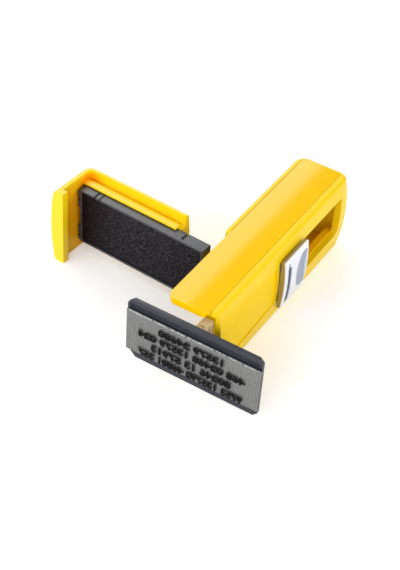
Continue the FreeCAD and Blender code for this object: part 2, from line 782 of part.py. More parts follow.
dish_bowl.setExpression("Radius1", bound("dish_half_height"))
dish_bowl.setExpression("Radius2", bound("dish_depth"))
dish_bowl.setExpression("Radius3", bound("dish_half_width"))
dish_bowl.setExpression("Placement.Base.x", bound("head_outer_x"))
dish_bowl.setExpression("Placement.Base.y", bound("dish_y"))
dish_bowl.setExpression("Placement.Base.z", bound("dish_z"))
dish_span = box(
    "thumb_button_dish_span", ("head_inner_x", "head_outer_x + 2"),
    ("head_front_y", "head_rear_y - dish_edge"),
    ("head_bottom_z", "head_top_z"),
)
dish = common("thumb_button_dish", dish_bowl, dish_span)
grip_line = box(
    "thumb_button_grip_line", ("head_outer_x - head_face_drop - grip_line_depth", "head_outer_x + 1"),
    ("grip_line_y", "grip_line_y + grip_line_width"),
    ("head_bottom_z + grip_line_margin", "head_top_z - grip_line_margin"),
)
node(cut("thumb_button", button_solid, dish, grip_line), "thumb_button")


# Cover pieces are drawn shut, then swung open and moved forward with the carriage
def swing(item):
    item.Placement.Rotation = FreeCAD.Rotation(Z_AXIS, 260)
    item.setExpression("Placement.Rotation.Angle", bound("360 - cover_turn"))
    item.setExpression("Placement.Base.x", bound("cover_base_x"))
    item.setExpression("Placement.Base.y", bound("cover_base_y"))
    return item


# Cover shell, an L in plan
cover_block = box(
    "cover_shell_block", ("cover_corner_x - 1", "cover_right_x"), ("cover_front_y - 1", "cover_rear_y"),
    ("0", "case_height"),
)
cover_side_bulge = rod("cover_shell_side_bulge", "y", "side_radius", ("side_axis_x", "mid_z"), ("-60", "60"))
cover_front_bulge = rod(
    "cover_shell_front_bulge", "x", "side_radius", ("cover_axis_y", "mid_z"), ("-20", "20"),
)
cover_bulged = common("cover_shell_bulged", cover_block, cover_side_bulge, cover_front_bulge)
cover_cornered = dress(
    "Part::Fillet", "cover_shell_cornered", cover_bulged, value("cover_corner_radius"), bulged_corner,
)


# Rim edge of the cover on its outer side
def outer_rim(edge):
    centre = edge.CenterOfMass
    return on_rim(edge) and (centre.y < value("cover_inner_y") or centre.x < value("cover_inner_x"))


cover_outer = dress("Part::Fillet", "cover_shell_outer", cover_cornered, value("rim_round"), outer_rim)
cover_inner_block = box(
    "cover_shell_inner_block", ("cover_inner_x", "20"), ("cover_inner_y", "20"), ("-1", "case_height + 1"),
)
cover_inner = dress(
    "Part::Fillet", "cover_shell_inner", cover_inner_block, value("cover_inner_radius"),
    lambda e: along(e, Z_AXIS) and e.CenterOfMass.x < 0 and e.CenterOfMass.y < 0,
)
cover_lip_space = box(
    "cover_shell_lip_space", ("-20", "cover_lip_left_x"), ("-60", "cover_lip_y"), ("-1", "case_height + 1"),
)
cover_hollow = fuse(
    "cover_shell_hollow", common("cover_shell_lip_cut", cover_inner, cover_lip_space),
    common("cover_shell_main_cut", cover_inner, box(
        "cover_shell_main_space", ("-20", "20"), ("cover_lip_y", "20"), ("-1", "case_height + 1"),
    )),
)
cover_wall = cut("cover_shell_wall", cover_outer, cover_hollow)
shelf = box(
    "cover_shell_shelf", ("cover_inner_x - 0.3", "shelf_x"), ("cover_inner_y - 0.3", "cover_rear_y"),
    ("tray_bottom_z + shelf_margin", "tray_top_z - shelf_margin"),
)


# Clip rail over one long edge of the tray
def clip_rail(name, base_z, lip_z):
    base = box(
        name + "_base", ("clip_back_x", "shelf_x"), ("cover_inner_y - 0.3", "clip_rear_y"), base_z,
    )
    lip = box(name + "_lip", ("clip_back_x", "clip_front_x"), ("cover_inner_y - 0.3", "clip_rear_y"), lip_z)
    return [base, lip]


clip_top = clip_rail(
    "cover_shell_clip_top", ("tray_top_z - shelf_margin - 0.3", "tray_top_z + clip_gap + clip_thickness"),
    ("tray_top_z + clip_gap", "tray_top_z + clip_gap + clip_thickness"),
)
clip_bottom = clip_rail(
    "cover_shell_clip_bottom",
    ("tray_bottom_z - clip_gap - clip_thickness", "tray_bottom_z + shelf_margin + 0.3"),
    ("tray_bottom_z - clip_gap - clip_thickness", "tray_bottom_z - clip_gap"),
)
tongue = box(
    "cover_shell_tongue", ("tongue_left_x", "tongue_right_x"), ("cover_rear_y - 0.5", "tongue_rear_y"),
    ("tongue_bottom_z", "tongue_top_z"),
)
neck = box(
    "cover_shell_neck", ("tongue_right_x - 0.5", "neck_right_x"), ("neck_front_y", "cover_pivot_y"),
    ("boss_bottom_z", "boss_top_z"),
)
boss = rod(
    "cover_shell_boss", "z", "boss_radius", ("cover_pivot_x", "cover_pivot_y"),
    ("boss_bottom_z", "boss_top_z"),
)
cover_solid = fuse("cover_shell_solid", cover_wall, shelf, *clip_top, *clip_bottom, tongue, neck, boss)
boss_hole = rod(
    "cover_shell_boss_hole", "z", "cover_pin_radius + pin_clearance", ("cover_pivot_x", "cover_pivot_y"),
    ("0", "case_height"),
)
node(swing(cut("cover_shell", cover_solid, boss_hole)), "cover_shell")

# Pad tray with four end lugs, and the ink foam in it
tray_block = box(
    "pad_tray_block", ("tray_left_x", "tray_right_x"), ("tray_front_y", "tray_rear_y"),
    ("tray_bottom_z", "tray_top_z"),
)
tray_hollow = box(
    "pad_tray_hollow", ("tray_floor_x", "tray_right_x + 1"),
    ("tray_front_y + tray_rim", "tray_rear_y - tray_rim"),
    ("tray_bottom_z + tray_rim", "tray_top_z - tray_rim"),
)
tray_cup = cut("pad_tray_cup", tray_block, tray_hollow)
tray_lugs = [
    box(
        f"pad_tray_lug_{n}", ("tray_left_x + 1.0", "tray_right_x - 1.2"),
        ("tray_front_y - lug_length", "tray_front_y + 0.2"),
        (f"tray_bottom_z + {low}", f"tray_bottom_z + {high}"),
    )
    for n, (low, high) in enumerate(((0.4, 1.9), (2.6, 5.9), (12.7, 15.2), (15.9, 18.6)))
]
tray_solid = fuse("pad_tray_solid", tray_cup, *tray_lugs)
tray_slot = box(
    "pad_tray_slot", ("tray_left_x - 1", "tray_right_x - 1"),
    ("tray_slot_y", "tray_slot_y + tray_slot_width"),
    ("tray_top_z - tray_slot_depth + 0.3", "tray_top_z + 1"),
)
tray_notch = box(
    "pad_tray_notch", ("tray_left_x - 1", "tray_floor_x"),
    ("tray_notch_y", "tray_notch_y + tray_notch_length"),
    ("tray_top_z - tray_slot_depth + 0.3", "tray_top_z + 1"),
)
node(swing(cut("pad_tray", tray_solid, tray_slot, tray_notch)), "pad_tray")
ink_block = box(
    "ink_pad_block", ("tray_floor_x", "pad_face_x"),
    ("tray_front_y + tray_rim + pad_side_gap", "tray_rear_y - tray_rim - pad_side_gap"),
    ("tray_bottom_z + tray_rim + pad_side_gap", "tray_top_z - tray_rim - pad_side_gap"),
)
ink_pad = dress("Part::Fillet", "ink_pad", ink_block, value("pad_corner_radius"), lambda e: along(e, X_AXIS))
node(swing(ink_pad), "ink_pad")

doc.recompute()
problems = []
for item in doc.Objects:
    if any(flag in item.State for flag in ("Invalid", "Error")):
        problems.append(item.Label + " state " + str(item.State))
for item in nodes:
    if item.Shape.isNull() or not item.Shape.isValid() or len(item.Shape.Solids) != 1:
        problems.append(item.Label + " shape")
if problems:
    raise RuntimeError("; ".join(problems))
for item in nodes:
    item.Shape.exportStep("parts/" + item.Label + ".step")
    size = item.Shape.BoundBox
    corners = (size.XMin, size.XMax, size.YMin, size.YMax, size.ZMin, size.ZMax)
    print(item.Label, [round(corner, 2) for corner in corners])
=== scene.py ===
"""Looks of a folding pocket stamp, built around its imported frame, in metres."""

import math

import bmesh
import bpy
from mathutils import Matrix, Vector


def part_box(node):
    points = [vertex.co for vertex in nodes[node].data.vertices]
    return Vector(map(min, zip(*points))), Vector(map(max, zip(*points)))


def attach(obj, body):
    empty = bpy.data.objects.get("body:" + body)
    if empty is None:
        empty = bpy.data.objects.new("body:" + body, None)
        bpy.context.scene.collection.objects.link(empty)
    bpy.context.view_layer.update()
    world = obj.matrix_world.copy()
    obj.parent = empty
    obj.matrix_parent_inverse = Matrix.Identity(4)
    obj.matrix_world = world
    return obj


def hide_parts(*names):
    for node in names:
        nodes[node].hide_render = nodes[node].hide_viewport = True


MM = 0.001
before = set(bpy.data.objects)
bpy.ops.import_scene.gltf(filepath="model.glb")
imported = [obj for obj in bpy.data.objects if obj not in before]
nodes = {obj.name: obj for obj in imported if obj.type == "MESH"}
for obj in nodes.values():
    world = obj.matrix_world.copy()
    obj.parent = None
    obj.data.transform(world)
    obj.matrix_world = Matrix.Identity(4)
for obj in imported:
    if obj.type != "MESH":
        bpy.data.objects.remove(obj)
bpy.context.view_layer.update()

# Colours, as linear red, green and blue
YELLOW = (0.955, 0.670, 0.006)
YELLOW_SHADE = (0.94, 0.640, 0.005)
PANEL_YELLOW = (0.955, 0.640, 0.003)
PANEL_SHADE = (0.945, 0.615, 0.002)
LID_YELLOW = (0.955, 0.575, 0.001)
LID_SHADE = (0.945, 0.560, 0.001)
# Rails: a deeper orange, as painted shade inside the case
RAIL_SHADED_YELLOW = (0.96, 0.52, 0.002)
RAIL_SHADE = (0.95, 0.49, 0.002)
# Painted shade: deeper orange between facing yellow walls
PAINTED_SHADE_YELLOW = (0.96, 0.45, 0.002)
# Painted shade in the cover's inner corner
CORNER_SHADE_YELLOW = (0.96, 0.37, 0.002)
WHITE = (0.83, 0.84, 0.87)
WHITE_SHADE = (0.79, 0.80, 0.84)
NATURAL = (0.68, 0.52, 0.31)
NATURAL_SHADE = (0.63, 0.48, 0.28)
NAVY = (0.021, 0.024, 0.037)
NAVY_SHADE = (0.015, 0.017, 0.028)
BLACK = (0.025, 0.027, 0.034)
BLACK_SHADE = (0.019, 0.020, 0.026)
# Painted shade in the slots and inner corners of dark plastic, and in the tray's painted cuts
SLOT_SHADE_BLACK = (0.002, 0.002, 0.003)
BUTTON_WHITE = (0.86, 0.89, 0.94)
BUTTON_SHADE = (0.83, 0.86, 0.92)
# Painted shade on the thumb button: its rim, which also gets painted yellow reflection, its dish and its
# grip line
BUTTON_RIM_SHADE = (0.36, 0.27, 0.09)
BUTTON_DISH_SHADE = (0.345, 0.390, 0.495)
BUTTON_LINE_SHADE = (0.22, 0.24, 0.30)
STEEL = (0.66, 0.66, 0.68)
STEEL_SHADE = (0.52, 0.52, 0.54)
RUBBER_LIGHT = (0.27, 0.27, 0.265)
RUBBER_DARK = (0.11, 0.11, 0.11)
# Painted shade: the digits' sides, darker than the plate's rubber
LETTER_SIDE_LIGHT = (0.18, 0.18, 0.175)
LETTER_SIDE_DARK = (0.05, 0.05, 0.05)
# Painted highlight and painted shade along the rubber plate's top edge
TOP_EDGE_HIGHLIGHT = (0.42, 0.42, 0.41)
TOP_EDGE_SHADE = (0.08, 0.08, 0.08)
INK = (0.005, 0.005, 0.006)
INK_SHADE = (0.002, 0.002, 0.003)
FOAM_LIGHT = (0.064, 0.058, 0.070)
FOAM_DARK = (0.005, 0.004, 0.005)
FOAM_BROWN = (0.009, 0.004, 0.003)
CUSHION = (0.05, 0.05, 0.055)
CUSHION_SHADE = (0.035, 0.035, 0.04)
FLOOR_WHITE = (0.9, 0.9, 0.9)
LIGHT_WHITE = (1, 1, 1)


# Small helpers for shader node trees
def new_material(name):
    material = bpy.data.materials.new(name)
    material.use_nodes = True
    tree = material.node_tree
    return material, tree, tree.nodes["Principled BSDF"]


# The node tree of a finished material, its shader and the output that colours it
def reopen(material):
    tree = material.node_tree
    shader = tree.nodes["Principled BSDF"]
    return tree, shader, shader.inputs["Base Color"].links[0].from_socket


def place_of(tree):
    return tree.nodes.new("ShaderNodeTexCoord").outputs["Object"]


def place_parts(tree):
    parts = tree.nodes.new("ShaderNodeSeparateXYZ")
    tree.links.new(place_of(tree), parts.inputs["Vector"])
    return parts.outputs


def noise(tree, scale, detail=4.0, roughness=0.6):
    texture = tree.nodes.new("ShaderNodeTexNoise")
    texture.inputs["Scale"].default_value = scale
    texture.inputs["Detail"].default_value = detail
    texture.inputs["Roughness"].default_value = roughness
    tree.links.new(place_of(tree), texture.inputs["Vector"])
    return texture.outputs["Fac"]


def mix_colours(tree, factor, first, second, low=0.35, high=0.65):
    ramp = tree.nodes.new("ShaderNodeValToRGB")
    ramp.color_ramp.elements[0].position = low
    ramp.color_ramp.elements[1].position = high
    ramp.color_ramp.elements[0].color = (*first, 1)
    ramp.color_ramp.elements[1].color = (*second, 1)
    tree.links.new(factor, ramp.inputs["Fac"])
    return ramp.outputs["Color"]


def spread(tree, factor, low, high):
    scale = tree.nodes.new("ShaderNodeMapRange")
    scale.inputs["To Min"].default_value = low
    scale.inputs["To Max"].default_value = high
    tree.links.new(factor, scale.inputs["Value"])
    return scale.outputs["Result"]


# A value that falls from full at the first limit to 0 at the second
def fade(tree, value, first, second, full=1.0):
    scale = tree.nodes.new("ShaderNodeMapRange")
    scale.inputs["From Min"].default_value = first
    scale.inputs["From Max"].default_value = second
    scale.inputs["To Min"].default_value = full
    scale.inputs["To Max"].default_value = 0.0
    tree.links.new(value, scale.inputs["Value"])
    return scale.outputs["Result"]


def vector_step(tree, operation, first, second=None):
    node = tree.nodes.new("ShaderNodeVectorMath")
    node.operation = operation
    tree.links.new(first, node.inputs[0])
    if second is not None:
        node.inputs[1].default_value = second
    return node


def number_step(tree, operation, first, second):
    node = tree.nodes.new("ShaderNodeMath")
    node.operation = operation
    for socket, value in zip(node.inputs, (first, second)):
        if isinstance(value, (int, float)):
            socket.default_value = value
        else:
            tree.links.new(value, socket)
    return node.outputs["Value"]


# 1 within these radii of a centre, 0 outside
def inside_oval(tree, centre, radii):
    moved = vector_step(tree, "SUBTRACT", place_of(tree), centre)
    scaled = vector_step(tree, "DIVIDE", moved.outputs["Vector"], radii)
    length = vector_step(tree, "LENGTH", scaled.outputs["Vector"])
    return number_step(tree, "LESS_THAN", length.outputs["Value"], 1.0)


# How far the box of a mask reaches past the piece it lies on
MASK_MARGIN = 1 * MM


# 1 within a box, 0 outside
def inside_box(tree, low, high):
    centre = [(a + b) / 2 for a, b in zip(low, high)]
    half = [(b - a) / 2 for a, b in zip(low, high)]
    moved = vector_step(tree, "SUBTRACT", place_of(tree), centre)
    scaled = vector_step(tree, "DIVIDE", moved.outputs["Vector"], half)
    sizes = vector_step(tree, "ABSOLUTE", scaled.outputs["Vector"])
    parts = tree.nodes.new("ShaderNodeSeparateXYZ")
    tree.links.new(sizes.outputs["Vector"], parts.inputs["Vector"])
    largest = number_step(tree, "MAXIMUM", parts.outputs["X"], parts.outputs["Y"])
    largest = number_step(tree, "MAXIMUM", largest, parts.outputs["Z"])
    return number_step(tree, "LESS_THAN", largest, 1.0)


# One colour over another where a mask is 1
def layer(tree, mask, below, above):
    mix = tree.nodes.new("ShaderNodeMix")
    mix.data_type = "RGBA"
    tree.links.new(mask, mix.inputs["Factor"])
    tree.links.new(below, mix.inputs["A"])
    if isinstance(above, tuple):
        mix.inputs["B"].default_value = (*above, 1)
    else:
        tree.links.new(above, mix.inputs["B"])
    return mix.outputs["Result"]


# How far a point lies in a hollow of its own piece, from 0 to 1, as the share of painted shade there
def painted_shade_in_hollows(tree, distance, deepest, shallowest):
    hollow = tree.nodes.new("ShaderNodeAmbientOcclusion")
    hollow.samples = 12
    hollow.only_local = True
    hollow.inputs["Distance"].default_value = distance
    return fade(tree, hollow.outputs["AO"], deepest, shallowest)


def bump(tree, shader, height, strength, distance):
    node = tree.nodes.new("ShaderNodeBump")
    node.inputs["Strength"].default_value = strength
    node.inputs["Distance"].default_value = distance
    tree.links.new(height, node.inputs["Height"])
    tree.links.new(node.outputs["Normal"], shader.inputs["Normal"])


# Moulded plastic: two close shades, uneven gloss and a fine grain
CLOUD_SCALE = 90
GLOSS_SCALE = 260
GLOSS_SPREAD = 0.15


def plastic(name, colour, shade, rough, grain_size, grain_depth, specular=0.5, coat=0.0):
    material, tree, shader = new_material(name)
    cloud = noise(tree, CLOUD_SCALE)
    tree.links.new(mix_colours(tree, cloud, shade, colour), shader.inputs["Base Color"])
    gloss = spread(tree, noise(tree, GLOSS_SCALE), rough * (1 - GLOSS_SPREAD), rough * (1 + GLOSS_SPREAD))
    tree.links.new(gloss, shader.inputs["Roughness"])
    grain = noise(tree, 1 / grain_size, detail=2.0)
    bump(tree, shader, grain, strength=0.25, distance=grain_depth)
    shader.inputs["IOR"].default_value = 1.5
    shader.inputs["Specular IOR Level"].default_value = specular
    shader.inputs["Coat Weight"].default_value = coat
    shader.inputs["Coat Roughness"].default_value = 0.14
    return material


# Yellow plastic with painted shade, a deeper orange where its walls face each other, but not in its right
# skin
YELLOW_GRAIN = {"grain_size": 0.4 * MM, "grain_depth": 0.006 * MM}
SKIN_START = 2.2 * MM
SKIN_END = 1.4 * MM
WALL_REACH = 9 * MM


def yellow_plastic(name, colour, shade, rough, coat, specular=0.2):
    material = plastic(name, colour, shade, rough, specular=specular, coat=coat, **YELLOW_GRAIN)
    tree, shader, plain = reopen(material)
    right_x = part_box("case_shell")[1].x
    under_skin = fade(tree, place_parts(tree)["X"], right_x - SKIN_START, right_x - SKIN_END)
    shade_between_walls = painted_shade_in_hollows(tree, WALL_REACH, deepest=0.35, shallowest=0.85)
    mask = number_step(tree, "MULTIPLY", under_skin, shade_between_walls)
    tree.links.new(layer(tree, mask, plain, PAINTED_SHADE_YELLOW), shader.inputs["Base Color"])
    return material


# Painted shade turns the cover orange only in the corner behind its end wall, and not at its upper rim
CORNER_START = 3.5 * MM
CORNER_END = 9 * MM
RIM_START = 1.4 * MM
RIM_END = 0.6 * MM
CORNER_REACH = 14 * MM


def cover_plastic():
    material = plastic(
        "cover_plastic", YELLOW, YELLOW_SHADE, rough=0.34, specular=0.2, coat=0.4, **YELLOW_GRAIN
    )
    tree, shader, plain = reopen(material)
    parts = place_parts(tree)
    low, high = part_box("cover_shell")
    corner = fade(tree, parts["X"], low.x + CORNER_START, low.x + CORNER_END)
    under_rim = fade(tree, parts["Z"], high.z - RIM_START, high.z - RIM_END)
    mask = number_step(tree, "MULTIPLY", corner, under_rim)
    hollow = painted_shade_in_hollows(tree, CORNER_REACH, deepest=0.70, shallowest=0.95)
    mask = number_step(tree, "MULTIPLY", mask, hollow)
    tree.links.new(layer(tree, mask, plain, CORNER_SHADE_YELLOW), shader.inputs["Base Color"])
    return material


yellow = yellow_plastic("yellow_plastic", YELLOW, YELLOW_SHADE, rough=0.34, coat=0.15)
yellow_panel = yellow_plastic(
    "yellow_panel_plastic", PANEL_YELLOW, PANEL_SHADE, rough=0.3, coat=0.0, specular=0.08
)
yellow_gloss = yellow_plastic(
    "yellow_gloss_plastic", LID_YELLOW, LID_SHADE, rough=0.22, coat=0.7, specular=0.0
)
# The rails are a deeper orange than the case: painted shade inside it
rail_shaded_yellow = yellow_plastic("rail_shaded_yellow_plastic", RAIL_SHADED_YELLOW, RAIL_SHADE, rough=0.4, coat=0.0)
yellow_cover = cover_plastic()

# Plain plastics of the parts inside
WHITE_GRAIN = {"grain_size": 0.3 * MM, "grain_depth": 0.008 * MM}
white = plastic("white_plastic", WHITE, WHITE_SHADE, rough=0.3, **WHITE_GRAIN)
natural = plastic("natural_plastic", NATURAL, NATURAL_SHADE, rough=0.35, specular=0.3, **WHITE_GRAIN)

# Dark plastic with painted shade, darker still in its slots and inner corners
DARK_GRAIN = {"grain_size": 0.2 * MM, "grain_depth": 0.012 * MM}
SLOT_REACH = 1.0 * MM


def dark_plastic(name, colour, shade, specular):
    material = plastic(name, colour, shade, rough=0.28, specular=specular, **DARK_GRAIN)
    tree, shader, plain = reopen(material)
    slot_shade = painted_shade_in_hollows(tree, SLOT_REACH, deepest=0.25, shallowest=0.6)
    tree.links.new(layer(tree, slot_shade, plain, SLOT_SHADE_BLACK), shader.inputs["Base Color"])
    return material


# Two dull dark marks are painted on the tray's top edge as the shade of cuts: their starts and lengths in
# millimetres
TRAY_CUT_SHADES = ((5.9, 0.7), (7.7, 0.5))
TRAY_CUT_SHADE_HEIGHT = 0.35 * MM


def tray_plastic():
    material = dark_plastic("black_plastic", BLACK, BLACK_SHADE, specular=0.7)
    tree, shader, plain = reopen(material)
    low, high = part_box("pad_tray")
    marks = []
    for start, length in TRAY_CUT_SHADES:
        end = start + length
        mark_low = (low.x + start * MM, low.y - MASK_MARGIN, high.z - TRAY_CUT_SHADE_HEIGHT)
        mark_high = (low.x + end * MM, high.y + MASK_MARGIN, high.z + MASK_MARGIN)
        marks.append(inside_box(tree, mark_low, mark_high))
    both_cut_shades = number_step(tree, "MAXIMUM", marks[0], marks[1])
    tree.links.new(layer(tree, both_cut_shades, plain, SLOT_SHADE_BLACK), shader.inputs["Base Color"])
    rough = shader.inputs["Roughness"].links[0].from_socket
    tree.links.new(number_step(tree, "MAXIMUM", rough, both_cut_shades), shader.inputs["Roughness"])
    return material


navy = dark_plastic("navy_grey_plastic", NAVY, NAVY_SHADE, specular=0.55)
black = tray_plastic()

# White plastic of the thumb button, with painted shade in its dish and along its grip line, and painted
# shade and painted yellow reflection at its rim
BUTTON_GRAIN = {"grain_size": 0.3 * MM, "grain_depth": 0.006 * MM}
BUTTON_FACE_RADIUS = 58.0 * MM
BUTTON_AXIS_RISE = 0.1 * MM
BUTTON_RIM_DEPTH = 0.25 * MM
BUTTON_RIM_INSET = 0.4 * MM
DISH_RADII = (0.83 * MM, 4.13 * MM, 6.85 * MM)
DISH_FROM_END = 2.2 * MM
DISH_DROP = 0.1 * MM
DISH_END_GAP = 0.5 * MM

# The painted shade along the grip line, a band wider than its groove: depth, reach from the near end, end
# gaps
GRIP_LINE_DEPTH = (-1.3 * MM, 0.5 * MM)
GRIP_LINE_REACH = (1.6 * MM, 3.6 * MM)
GRIP_LINE_GAPS = (1.5 * MM, 3.1 * MM)


def button_plastic():
    material = plastic(
        "button_plastic", BUTTON_WHITE, BUTTON_SHADE, rough=0.3, specular=0.3, **BUTTON_GRAIN
    )
    tree, shader, colour = reopen(material)
    low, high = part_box("thumb_button")
    face_x = high.x
    past_face_x = face_x + MASK_MARGIN
    middle_z = low.z + (high.z - low.z) / 2

    # Painted shade and painted yellow reflection on the rim below the curved face
    axis = (face_x - BUTTON_FACE_RADIUS, 0.0, middle_z + BUTTON_AXIS_RISE)
    across = vector_step(tree, "MULTIPLY", place_of(tree), (1.0, 0.0, 1.0))
    away = vector_step(tree, "DISTANCE", across.outputs["Vector"], axis)
    rim_radius = BUTTON_FACE_RADIUS - BUTTON_RIM_DEPTH
    below_face = number_step(tree, "LESS_THAN", away.outputs["Value"], rim_radius)
    inner_low = (low.x, low.y + BUTTON_RIM_INSET, low.z + BUTTON_RIM_INSET)
    inner_high = (past_face_x, high.y - BUTTON_RIM_INSET, high.z - BUTTON_RIM_INSET)
    rim = number_step(tree, "SUBTRACT", below_face, inside_box(tree, inner_low, inner_high))
    colour = layer(tree, rim, colour, BUTTON_RIM_SHADE)

    # Painted shade in the dish
    dish_centre = (face_x, high.y - DISH_FROM_END, middle_z - DISH_DROP)
    dish = inside_oval(tree, dish_centre, DISH_RADII)
    short_of_end = inside_box(tree, tuple(low), (past_face_x, high.y - DISH_END_GAP, high.z))
    dish = number_step(tree, "MULTIPLY", dish, short_of_end)
    colour = layer(tree, dish, colour, BUTTON_DISH_SHADE)

    # Painted shade along the grip line
    line_low = (face_x + GRIP_LINE_DEPTH[0], low.y + GRIP_LINE_REACH[0], low.z + GRIP_LINE_GAPS[0])
    line_high = (face_x + GRIP_LINE_DEPTH[1], low.y + GRIP_LINE_REACH[1], high.z - GRIP_LINE_GAPS[1])
    colour = layer(tree, inside_box(tree, line_low, line_high), colour, BUTTON_LINE_SHADE)
    tree.links.new(colour, shader.inputs["Base Color"])
    return material


button = button_plastic()


# Steel with a finely mottled sheen
STEEL_MOTTLE_SCALE = 3500
STEEL_ROUGHNESS = (0.22, 0.36)


def brushed_steel():
    material, tree, shader = new_material("brushed_steel")
    mottle = noise(tree, STEEL_MOTTLE_SCALE, detail=2.0)
    tree.links.new(mix_colours(tree, mottle, STEEL_SHADE, STEEL), shader.inputs["Base Color"])
    tree.links.new(spread(tree, mottle, *STEEL_ROUGHNESS), shader.inputs["Roughness"])
    shader.inputs["Metallic"].default_value = 1.0
    return material


steel = brushed_steel()

# Rubber plate with the fine crossed lines that laser engraving leaves: direction, scale and share
ENGRAVED_LINES = (("X", 640, 0.75), ("Z", 900, 0.25))
RUBBER_GRAIN_SCALE = 1500
# Painted highlight dashes over painted shade along the plate's top edge: their scale and band height
TOP_EDGE_DASH_SCALE = 1600
TOP_EDGE_BAND_HEIGHT = 0.32 * MM


def engraved_rubber(name, dark, light):
    material, tree, shader = new_material(name)
    lines = []
    for direction, scale, share in ENGRAVED_LINES:
        waves = tree.nodes.new("ShaderNodeTexWave")
        waves.bands_direction = direction
        waves.inputs["Scale"].default_value = scale
        waves.inputs["Distortion"].default_value = 4.0
        waves.inputs["Detail"].default_value = 3.0
        waves.inputs["Detail Scale"].default_value = 1.5
        tree.links.new(place_of(tree), waves.inputs["Vector"])
        lines.append(number_step(tree, "MULTIPLY", waves.outputs["Fac"], share))
    crossed = number_step(tree, "ADD", lines[0], lines[1])
    specks = noise(tree, RUBBER_GRAIN_SCALE, detail=6.0, roughness=0.75)
    grain = number_step(tree, "MULTIPLY", crossed, specks)
    colour = mix_colours(tree, grain, dark, light, low=0.05, high=0.5)
    # Along the top edge: painted highlight dashes over painted shade
    low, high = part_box("text_plate")
    edge_low = (low.x, low.y - MASK_MARGIN, high.z - TOP_EDGE_BAND_HEIGHT)
    edge_high = (high.x, high.y + MASK_MARGIN, high.z + MASK_MARGIN)
    edge = inside_box(tree, edge_low, edge_high)
    patches = noise(tree, TOP_EDGE_DASH_SCALE, detail=3.0)
    highlight_dashes = mix_colours(tree, patches, TOP_EDGE_SHADE, TOP_EDGE_HIGHLIGHT, low=0.38, high=0.55)
    tree.links.new(layer(tree, edge, colour, highlight_dashes), shader.inputs["Base Color"])
    bump(tree, shader, grain, strength=0.6, distance=0.05 * MM)
    shader.inputs["Roughness"].default_value = 0.8
    shader.inputs["Specular IOR Level"].default_value = 0.2
    return material


rubber = engraved_rubber("engraved_rubber", RUBBER_DARK, RUBBER_LIGHT)
# The digits' sides: rubber darker than the plate's, as painted shade around the digits
shaded_letter_rubber = engraved_rubber("shaded_letter_rubber", LETTER_SIDE_DARK, LETTER_SIDE_LIGHT)
inked_rubber = plastic(
    "inked_rubber", INK, INK_SHADE, rough=0.6, grain_size=0.1 * MM, grain_depth=0.02 * MM, specular=0.08
)

# Open-pored foam soaked with dark ink, browner over a share of its length at the outer end
PORE_SCALE = 2300
FOAM_GRAIN_SCALE = 1100
FOAM_BROWN_SHARE = 0.35
FOAM_BROWN_STRENGTH = 0.95


def ink_foam():
    material, tree, shader = new_material("ink_foam")
    pores = tree.nodes.new("ShaderNodeTexVoronoi")
    pores.inputs["Scale"].default_value = PORE_SCALE
    tree.links.new(place_of(tree), pores.inputs["Vector"])
    specks = noise(tree, FOAM_GRAIN_SCALE, detail=5.0, roughness=0.8)
    grain = number_step(tree, "MULTIPLY", pores.outputs["Distance"], specks)
    colour = mix_colours(tree, grain, FOAM_DARK, FOAM_LIGHT, low=0.12, high=0.55)
    low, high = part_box("ink_pad")
    brown_end = low.x + FOAM_BROWN_SHARE * (high.x - low.x)
    brown = fade(tree, place_parts(tree)["X"], low.x, brown_end, full=FOAM_BROWN_STRENGTH)
    tree.links.new(layer(tree, brown, colour, FOAM_BROWN), shader.inputs["Base Color"])
    bump(tree, shader, grain, strength=0.8, distance=0.12 * MM)
    shader.inputs["Roughness"].default_value = 0.8
    shader.inputs["Specular IOR Level"].default_value = 0.05
    return material


foam = ink_foam()
cushion_foam = plastic(
    "cushion_foam", CUSHION, CUSHION_SHADE, rough=0.8, grain_size=0.15 * MM, grain_depth=0.05 * MM
)


def paint(piece, material):
    piece.data.materials.clear()
    piece.data.materials.append(material)


# A carried-over node gets merged faces, rounded edges and smooth shading
WELD_REACH = 0.002 * MM
FLAT_ANGLE = math.radians(0.6)
EDGE_ANGLE = math.radians(32)


def soften(piece, width):
    weld = piece.modifiers.new("weld", "WELD")
    weld.merge_threshold = WELD_REACH
    flat = piece.modifiers.new("flat", "DECIMATE")
    flat.decimate_type = "DISSOLVE"
    flat.angle_limit = FLAT_ANGLE
    edge = piece.modifiers.new("edge", "BEVEL")
    edge.width = width
    edge.segments = 2
    edge.limit_method = "ANGLE"
    edge.angle_limit = EDGE_ANGLE
    edge.use_clamp_overlap = True
    edge.harden_normals = False
    for polygon in piece.data.polygons:
        polygon.use_smooth = True
    even = piece.modifiers.new("even", "WEIGHTED_NORMAL")
    even.keep_sharp = False


def show(node, material, width):
    piece = nodes[node]
    paint(piece, material)
    soften(piece, width)


# Carried-over nodes, each with its material and the width of its rounded edges in millimetres
CARRIED = (
    ("case_shell", yellow, 0.35),
    ("top_lid", yellow_gloss, 0.35),
    ("bottom_lid", yellow_gloss, 0.3),
    ("side_panel", yellow_panel, 0.12),
    ("lower_rail", rail_shaded_yellow, 0.1),
    ("upper_rail", rail_shaded_yellow, 0.1),
    ("toggle_bracket", white, 0.12),
    ("rear_link", white, 0.12),
    ("front_link", white, 0.12),
    ("die_sled", natural, 0.2),
    ("slide_carriage", white, 0.2),
    ("thumb_button", button, 0.2),
    ("cover_shell", yellow_cover, 0.6),
    ("pad_tray", black, 0.2),
    ("die_mount", navy, 0.3),
    ("anchor_pin", steel, 0.08),
    ("knee_pin", steel, 0.08),
    ("sled_pin", steel, 0.08),
    ("die_hinge_pin", steel, 0.08),
    ("cover_hinge_pin", steel, 0.08),
)
for node, material, width in CARRIED:
    show(node, material, width * MM)


def mesh_object(name, mesh, material, body):
    piece = bpy.data.objects.new(name, mesh)
    bpy.context.scene.collection.objects.link(piece)
    paint(piece, material)
    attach(piece, body)
    return piece


